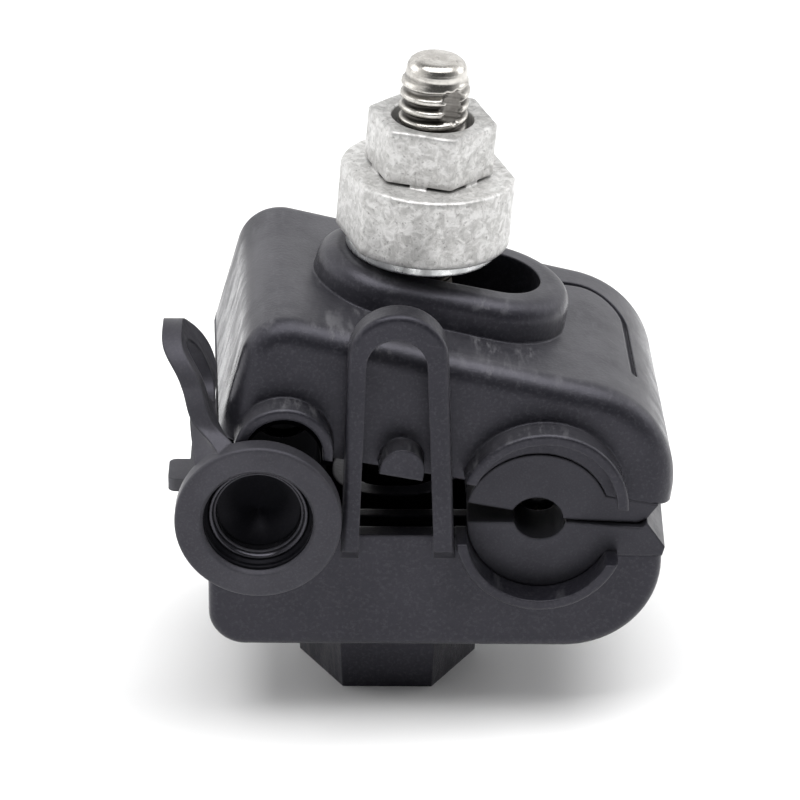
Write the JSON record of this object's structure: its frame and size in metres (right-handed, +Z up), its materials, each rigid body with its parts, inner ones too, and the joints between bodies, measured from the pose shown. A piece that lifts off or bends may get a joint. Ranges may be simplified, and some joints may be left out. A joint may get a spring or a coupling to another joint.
{
  "type": "insulation piercing branch clamp",
  "caption": "Black plastic two-jaw branch connector for overhead line, with an upright bolt and shear head nut, rubber groove seals, a latch loop and an end cap for the tap conductor.",
  "frame": {"origin": "centre of the bottom face of the hexagonal foot", "axes": "+X across the clamp from the tap groove to the main groove, +Y along both grooves away from the end cap, +Z up along the bolt"},
  "size_m": [0.0578, 0.0455, 0.0764],
  "materials": {
    "jaw_nylon": "black glass filled nylon with a fine grain, slightly faded",
    "bolt_steel": "zinc plated steel with a rolled thread, marred near the tip",
    "washer_steel": "zinc plated steel",
    "nut_zinc": "mottled die cast alloy",
    "seal_rubber": "smooth dark rubber",
    "cap_rubber": "smooth dark rubber",
    "blade_copper": "tinned copper"
  },
  "bodies": {
    "lower": {"lower_body": "jaw_nylon", "main_seal_lower": "seal_rubber", "tap_seal_lower": "seal_rubber", "front_blade_lower": "blade_copper", "rear_blade_lower": "blade_copper", "end_cap": "cap_rubber"},
    "bolt": {"clamp_bolt": "bolt_steel"},
    "washer": {"flat_washer": "washer_steel"},
    "nut": {"shear_nut": "nut_zinc"},
    "jaw": {"upper_body": "jaw_nylon", "main_seal_upper": "seal_rubber", "tap_seal_upper": "seal_rubber", "front_blade_upper": "blade_copper", "rear_blade_upper": "blade_copper"}
  },
  "joints": [
    {"name": "bolt_rock", "type": "hinge", "parent": "lower", "child": "bolt", "pos_m": [0, 0, 0.004], "axis": [0, 1, 0], "range_deg": [-4.3, 0]},
    {"name": "clamp_travel", "type": "slide", "parent": "bolt", "child": "washer", "axis": [0.075, 0, 0.9972], "range_m": [-0.0049, 0]},
    {"name": "nut_turn", "type": "hinge", "parent": "washer", "child": "nut", "pos_m": [0, 0, 0.004], "axis": [0.075, 0, 0.9972], "range_deg": [-1176, 0]},
    {"name": "jaw_level", "type": "hinge", "parent": "lower", "child": "jaw", "pos_m": [0.01965, 0, 0.032], "axis": [-0.023, 0.9743, 0.2241], "range_deg": [-12.01, 0]}
  ],
  "couplings": [
    {"joint": "clamp_travel", "follows": "nut_turn", "m_per_rad": 0.00023873},
    {"joint": "jaw_level", "follows": "nut_turn", "ratio": 0.010208},
    {"joint": "bolt_rock", "follows": "nut_turn", "ratio": 0.0036562}
  ]
}
